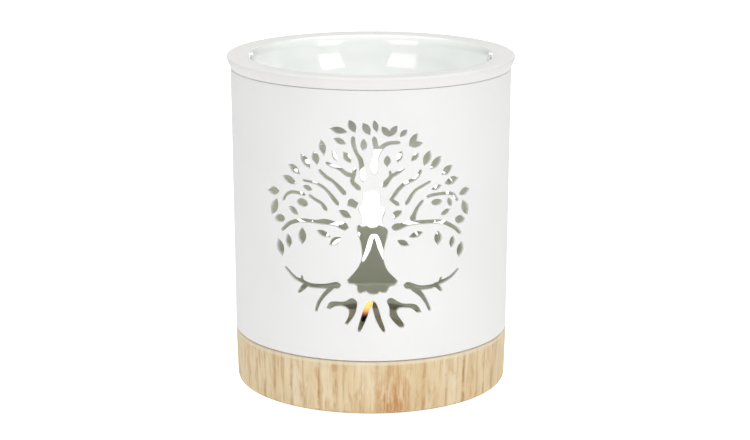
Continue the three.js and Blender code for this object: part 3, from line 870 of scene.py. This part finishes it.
def new_group(name, inputs, outputs):
    """An empty node group with those value inputs and outputs, and its two ends."""
    group = bpy.data.node_groups.new(name, "ShaderNodeTree")
    for socket in inputs:
        group.interface.new_socket(socket, in_out="INPUT", socket_type="NodeSocketFloat")
    for socket in outputs:
        group.interface.new_socket(socket, in_out="OUTPUT", socket_type="NodeSocketFloat")
    return group, put(group, "NodeGroupInput").outputs, put(group, "NodeGroupOutput").inputs


def round_place_group():
    """Distance from the burner's axis, in metres."""
    group, _, ends = new_group("round_place", [], ["Radius"])
    flat = stretched(group, (1, 1, 0))
    group.links.new(length_of(group, flat), ends["Radius"])
    return group


def fired_clay_group():
    """Cloudy tone of a white body, the faint peel of its surface, and rare pinholes."""
    group, starts, ends = new_group("fired_clay", ["Patches", "Peel"], ["Tone", "Height", "Pinholes"])
    where = put(group, "ShaderNodeTexCoord").outputs["Object"]
    tone = grains(group, where, starts["Patches"], detail=4, rough=0.55)
    group.links.new(ramp(group, tone, 0.3, 0.7), ends["Tone"])
    group.links.new(grains(group, where, starts["Peel"], detail=2), ends["Height"])
    spots = put(group, "ShaderNodeTexVoronoi", {"Vector": where, "Scale": 210.0, "Randomness": 1.0})
    near = ramp(group, spots.outputs["Distance"], 0.03, 0.06, 1, 0)
    few = ramp(group, grains(group, where, 70.0, detail=1), 0.66, 0.7)
    group.links.new(maths(group, "MULTIPLY", near, few), ends["Pinholes"])
    return group


ROUND_PLACE = round_place_group()
FIRED_CLAY = fired_clay_group()


def use(tree, group, inputs=None):
    """Places a node group with its values and returns its outputs."""
    return put(tree, "ShaderNodeGroup", inputs, node_tree=group).outputs


def new_finish(name, **sockets):
    """A material with its shader, whose plain values are set on the shader's own sockets."""
    finish = bpy.data.materials.new(name)
    finish.use_nodes = True
    tree = finish.node_tree
    shader = tree.nodes["Principled BSDF"]
    for socket, value in sockets.items():
        shader.inputs[socket.replace("_", " ")].default_value = value
    return finish, tree, shader


def relief(tree, shader, height, depth, strength=1.0):
    """Raises the surface by a height from 0 to 1, of that depth."""
    bump = put(tree, "ShaderNodeBump", {"Height": height, "Distance": depth, "Strength": strength})
    tree.links.new(bump.outputs["Normal"], shader.inputs["Normal"])


def satin_white():
    """Sleeve: satin white glaze outside, raw clay inside, darkened to an olive grey as painted shade."""
    finish, tree, shader = new_finish("satin_white")
    clay = use(tree, FIRED_CLAY, {"Patches": 24.0, "Peel": 700.0})
    radius = use(tree, ROUND_PLACE)["Radius"]
    white = blend(tree, clay["Tone"], srgb(242, 242, 241), srgb(246, 246, 245))
    # Raw clay inside, darkened and tinted olive grey: painted shade
    shaded_raw_clay = blend(tree, clay["Tone"], srgb(211, 213, 202), srgb(223, 224, 214))
    outside = ramp(tree, radius, *GLAZE_EDGE)
    colour = blend(tree, outside, shaded_raw_clay, white)
    colour = blend(tree, clay["Pinholes"], colour, srgb(205, 203, 198))
    tree.links.new(colour, shader.inputs["Base Color"])
    satin = ramp(tree, clay["Tone"], 0, 1, 0.42, 0.5)
    tree.links.new(ramp(tree, outside, 0, 1, 0.8, satin), shader.inputs["Roughness"])
    relief(tree, shader, clay["Height"], depth=0.02 * MM)
    return finish


def dish_glaze():
    """Dish: satin outside and on the rim, a clear greenish glaze in the bowl."""
    finish, tree, shader = new_finish("dish_glaze", Coat_Roughness=0.03, Coat_IOR=1.52)
    clay = use(tree, FIRED_CLAY, {"Patches": 30.0, "Peel": 800.0})
    glaze = put(tree, "ShaderNodeAttribute", attribute_name="glaze").outputs["Fac"]
    satin = blend(tree, clay["Tone"], srgb(238, 237, 235), srgb(242, 241, 240))
    glossy = blend(tree, clay["Tone"], srgb(250, 253, 250), srgb(252, 254, 252))
    colour = blend(tree, glaze, satin, glossy)
    colour = blend(tree, clay["Pinholes"], colour, srgb(210, 208, 203))
    tree.links.new(colour, shader.inputs["Base Color"])
    tree.links.new(ramp(tree, glaze, 0, 1, 0.45, 0.06), shader.inputs["Roughness"])
    tree.links.new(glaze, shader.inputs["Coat Weight"])
    relief(tree, shader, clay["Height"], depth=0.012 * MM)
    return finish


def streak_mask(tree, wandered):
    """Strength of the strong streaks by the way round, in millimetres from the middle of the front."""
    strong = 0.0
    for middle, half_width, depth in WOOD_STREAKS:
        off = maths(tree, "ABSOLUTE", maths(tree, "SUBTRACT", wandered, middle))
        strong = maths(tree, "MAXIMUM", strong, ramp(tree, off, 0, half_width, depth, 0))
    return strong


def pale_wood():
    """Base: cream wood with broken upright streaks, some strong, and one warm patch low at the front."""
    finish, tree, shader = new_finish("pale_wood")
    where = put(tree, "ShaderNodeSeparateXYZ", {0: stretched(tree, (1, -1, 1))}).outputs
    radius, height = use(tree, ROUND_PLACE)["Radius"], where["Z"]
    angle = maths(tree, "ARCTAN2", where["X"], where["Y"])
    way_round = maths(tree, "MULTIPLY", angle, SLEEVE_FOOT_RADIUS / MM)
    broad = grains(tree, stretched(tree, (1, 1, 0.25)), 110.0, warp=0.5)
    upright = stretched(tree, (1, 1, 0.2), shift=(0.3, 0.1, 0))
    streak = grains(tree, upright, 400.0, detail=5, rough=0.65, warp=0.6)
    knotty = stretched(tree, (1, 1, 0.7), shift=(0, 0, 0.4))
    breaks = grains(tree, knotty, 170.0, detail=4, rough=0.6, warp=0.4)
    fibre = grains(tree, stretched(tree, (1, 1, 0.05)), 1700.0, rough=0.6, warp=0.3)
    # Cream ground and soft streaks
    colour = blend(tree, ramp(tree, broad, 0.35, 0.68), srgb(239, 222, 187), srgb(227, 202, 157))
    colour = blend(tree, ramp(tree, streak, 0.48, 0.68, 0, 0.62), colour, srgb(207, 166, 112))
    # Strong streaks, which wander and break off
    with_breaks = ramp(tree, breaks, 0.2, 0.8, -STREAK_WANDER, STREAK_WANDER)
    with_fibre = ramp(tree, fibre, 0.3, 0.7, -FIBRE_WANDER, FIBRE_WANDER)
    wandered = maths(tree, "ADD", maths(tree, "ADD", way_round, with_breaks), with_fibre)
    kept = ramp(tree, breaks, 0.38, 0.58, 0.15, 1)
    strong = maths(tree, "MULTIPLY", streak_mask(tree, wandered), kept)
    colour = blend(tree, strong, colour, srgb(186, 138, 80))
    # Warm patch, broken up by its grain
    off_patch = length_of(tree, stretched(tree, WARM_STRETCH, WARM_PATCH))
    patch = maths(tree, "MULTIPLY", ramp(tree, off_patch, *WARM_FADE, 1, 0), ramp(tree, streak, 0.32, 0.58))
    patch = maths(tree, "MULTIPLY", patch, ramp(tree, fibre, 0.36, 0.58, 0.45, 1))
    colour = blend(tree, patch, colour, srgb(198, 138, 78))
    # Fine dashes of fibre
    dashes = ramp(tree, fibre, 0.5, 0.7, 0, 0.5)
    dashes = maths(tree, "MULTIPLY", dashes, ramp(tree, streak, 0.4, 0.6, 0.3, 1))
    colour = blend(tree, dashes, colour, srgb(180, 136, 88))
    # Pale top edge, partly wear and partly a painted highlight where the eased edge catches light; darker
    # foot, painted shade; and the inside in pale paint
    # Pale top edge: partly wear, partly a painted highlight
    colour = blend(tree, ramp(tree, height, *WOOD_TOP_WEAR_AND_HIGHLIGHT, 0, 0.7), colour, srgb(238, 226, 200))
    # Darker foot: painted shade
    colour = blend(tree, ramp(tree, height, *WOOD_FOOT_SHADE, 0.6, 0), colour, srgb(150, 126, 98))
    within = ramp(tree, radius, *PAINT_OUTER_EDGE, 1, 0)
    painted = maths(tree, "MULTIPLY", within, ramp(tree, height, *PAINT_LOW_EDGE))
    paint = blend(tree, broad, srgb(234, 235, 225), srgb(241, 242, 233))
    tree.links.new(blend(tree, painted, colour, paint), shader.inputs["Base Color"])
    tree.links.new(ramp(tree, streak, 0.3, 0.7, 0.5, 0.62), shader.inputs["Roughness"])
    relief(tree, shader, fibre, depth=0.03 * MM, strength=0.6)
    return finish


def wool_felt():
    """Pads: mottled grey-brown felt."""
    finish, tree, shader = new_finish("wool_felt", Roughness=0.95, Sheen_Weight=0.3)
    where = stretched(tree)
    hair = grains(tree, where, 2600.0, detail=4, rough=0.7, warp=1.5)
    tone = grains(tree, where, 500.0, detail=2)
    colour = blend(tree, ramp(tree, tone, 0.3, 0.7), srgb(140, 128, 112), srgb(166, 154, 138))
    colour = blend(tree, ramp(tree, hair, 0.5, 0.75), colour, srgb(190, 180, 165))
    tree.links.new(colour, shader.inputs["Base Color"])
    relief(tree, shader, hair, depth=0.15 * MM)
    return finish


def drawn_metal(name, colour, roughness, paler=14, duller=0.14):
    """Thin drawn sheet: fine rings round the axis and a few paler, duller patches."""
    finish, tree, shader = new_finish(name, Metallic=1.0)
    radius = use(tree, ROUND_PLACE)["Radius"]
    along = put(tree, "ShaderNodeCombineXYZ", {0: radius, 1: height_up(tree)}).outputs[0]
    rings = grains(tree, along, 4000.0, detail=2)
    dull = grains(tree, stretched(tree), 160.0)
    pale = srgb(*(min(255, part + paler) for part in colour))
    tree.links.new(blend(tree, dull, srgb(*colour), pale), shader.inputs["Base Color"])
    tree.links.new(ramp(tree, dull, 0.3, 0.7, roughness, roughness + duller), shader.inputs["Roughness"])
    relief(tree, shader, rings, depth=0.02 * MM)
    return finish


def candle_wax_finish():
    """White wax, greyed as painted shade, matt at its edge and wet round the wick, where it is darker
    still: partly the clear melt, partly painted shade.
    """
    finish, tree, shader = new_finish("white_wax", Subsurface_Weight=0.25, Subsurface_Scale=2 * MM)
    clay = use(tree, FIRED_CLAY, {"Patches": 120.0, "Peel": 500.0})
    radius = use(tree, ROUND_PLACE)["Radius"]
    wet_and_shaded = ramp(tree, radius, *WET_AND_SHADED_WAX_EDGE, 1, 0)
    # Wax greyed well below white: painted shade
    colour = blend(tree, clay["Tone"], srgb(188, 183, 168), srgb(197, 193, 179))
    tree.links.new(blend(tree, wet_and_shaded, colour, srgb(170, 162, 142)), shader.inputs["Base Color"])
    tree.links.new(ramp(tree, wet_and_shaded, 0, 1, 0.5, 0.12), shader.inputs["Roughness"])
    relief(tree, shader, clay["Height"], depth=0.05 * MM, strength=0.5)
    return finish


def charred_cotton():
    """Wick: waxed cotton low down, burnt black where it stands clear."""
    finish, tree, shader = new_finish("charred_cotton", Roughness=0.9)
    burnt = ramp(tree, height_up(tree), *CHAR_EDGE)
    ash = grains(tree, stretched(tree), 1800.0)
    char = blend(tree, ramp(tree, ash, 0.45, 0.75), srgb(12, 10, 10), srgb(34, 29, 27))
    tree.links.new(blend(tree, burnt, srgb(214, 200, 170), char), shader.inputs["Base Color"])
    relief(tree, shader, ash, depth=0.1 * MM)
    return finish


def flame_glow():
    """Flame: dim and orange at the wick, yellow in the body, paler towards the tip."""
    finish, tree, shader = new_finish("flame_glow", Roughness=1.0, Emission_Strength=2.6)
    shader.inputs["Base Color"].default_value = (0, 0, 0, 1)
    foot, tip = FLAME_RINGS[0][0] * MM, FLAME_RINGS[-1][0] * MM
    rise = ramp(tree, height_up(tree), foot, tip)
    colour = blend(tree, ramp(tree, rise, 0.1, 0.3), (0.03, 0.014, 0.012, 1), (0.31, 0.115, 0.04, 1))
    colour = blend(tree, ramp(tree, rise, 0.25, 0.5), colour, (0.5, 0.335, 0.09, 1))
    colour = blend(tree, ramp(tree, rise, 0.6, 0.95), colour, (0.5, 0.39, 0.15, 1))
    tree.links.new(colour, shader.inputs["Emission Color"])
    return finish


def studio_white():
    """Pale floor that glows a little, so that it stays white round the object."""
    finish, tree, shader = new_finish("studio_white", Roughness=0.9)
    shader.inputs["Base Color"].default_value = (0.8, 0.8, 0.8, 1)
    shader.inputs["Emission Color"].default_value = (1, 1, 1, 1)
    seen = put(tree, "ShaderNodeLightPath").outputs["Is Camera Ray"]
    tree.links.new(ramp(tree, seen, 0, 1, FLOOR_GLOW, 1), shader.inputs["Emission Strength"])
    return finish


def wear(piece, finish, body, slot, *nodes):
    """Gives a piece its finish and its body, and hides the solids that it stands for. The slot is not used.
    """
    piece.data.materials.clear()
    piece.data.materials.append(finish)
    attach(piece, body)
    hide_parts(*nodes)


def mark_glaze(piece):
    """Marks the inside of the bowl, where the clear glaze is."""
    glaze = piece.data.attributes.new("glaze", "FLOAT", "POINT")
    for corner, mark in zip(piece.data.vertices, glaze.data):
        rise = (corner.co.z - BOWL_FLOOR) / (BOWL_SHOULDER - BOWL_FLOOR)
        across = math.hypot(corner.co.x, corner.co.y)
        bowl = BOWL_RADIUS + MERGE
        if rise > 1:
            bowl += RIM_SLOPE
        elif rise > 0:
            bowl = DISH_FLAT_RADIUS + (bowl - DISH_FLAT_RADIUS) * math.sqrt(1 - (1 - rise) ** 2) + MERGE
        mark.value = 1.0 if rise > -FLOOR_SLACK and across < bowl else 0.0


# The pieces, each with its finish, body and solids
sleeve = pierced_sleeve()
wear(sleeve, satin_white(), "stand", "satin_ceramic", "pierced_body")
dish = glazed_dish()
mark_glaze(dish)
wear(dish, dish_glaze(), "dish", "glazed_ceramic", "oil_dish")
wear(turned_base(), pale_wood(), "stand", "wood", "wood_base")
felt = wool_felt()
for number in range(1, PAD_COUNT + 1):
    wear(felt_disc(number), felt, "stand", "felt", f"felt_pad_{number}")
cup = foil_cup()
wear(cup, drawn_metal("bright_foil", (176, 178, 174), 0.32), "tealight", "aluminium_foil", "tealight_cup")
wear(candle_wax(), candle_wax_finish(), "tealight", "wax", "tealight_wax")
wear(burnt_wick(), charred_cotton(), "tealight", "cotton_wick", "wick")
flame = candle_flame()
flame.data.materials.append(flame_glow())
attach(flame, "tealight")
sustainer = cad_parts["wick_sustainer"]
sustainer.data.materials.clear()
sustainer.data.materials.append(drawn_metal("tinplate", (178, 179, 180), 0.3))


# Stage
def softbox(name, azimuth, elevation, distance, width, height, glow):
    """A flat light that faces the middle of the object, with its glow as radiance."""
    turn, lift = math.radians(azimuth), math.radians(elevation)
    across = math.cos(lift)
    towards = Vector((math.sin(turn) * across, -math.cos(turn) * across, math.sin(lift)))
    panel = bpy.data.lights.new(name, "AREA")
    panel.shape = "RECTANGLE"
    panel.size, panel.size_y = width, height
    panel.energy = glow * math.pi * width * height
    lamp = bpy.data.objects.new(name, panel)
    bpy.context.scene.collection.objects.link(lamp)
    lamp.location = MIDDLE + towards * distance
    lamp.rotation_euler = towards.to_track_quat("Z", "Y").to_euler()


for panel in SOFTBOXES:
    softbox(*panel)

for name, up, tilt, width, power, colour in INNER_LIGHTS:
    glow = bpy.data.objects.new(name, bpy.data.lights.new(name, "AREA"))
    bpy.context.scene.collection.objects.link(glow)
    glow.location = (0, -INNER_LIGHT_FORWARD, up * MM)
    glow.rotation_euler = (math.radians(tilt), 0, 0)
    glow.data.size = width * MM
    glow.data.energy = power
    glow.data.color = colour
    glow.visible_camera = glow.visible_glossy = False

floor = start_piece("floor", bpy.ops.mesh.primitive_plane_add, size=FLOOR_SIZE)
floor.data.materials.append(studio_white())

world = bpy.data.worlds.new("studio")
bpy.context.scene.world = world
world.use_nodes = True
background = world.node_tree.nodes["Background"]
background.inputs["Color"].default_value = (1, 1, 1, 1)
background.inputs["Strength"].default_value = WORLD_GLOW
bpy.context.scene.view_settings.view_transform = "Standard"

camera = bpy.data.objects.new("camera", bpy.data.cameras.new("camera"))
bpy.context.scene.collection.objects.link(camera)
camera.data.sensor_fit = "HORIZONTAL"
camera.data.sensor_width = SENSOR_WIDTH
camera.data.lens = FOCAL_PIXELS * SENSOR_WIDTH / PHOTO_WIDTH
camera.location = CAMERA_PLACE
camera.rotation_euler = (math.pi / 2 - CAMERA_PITCH, 0, 0)
bpy.context.scene.camera = camera
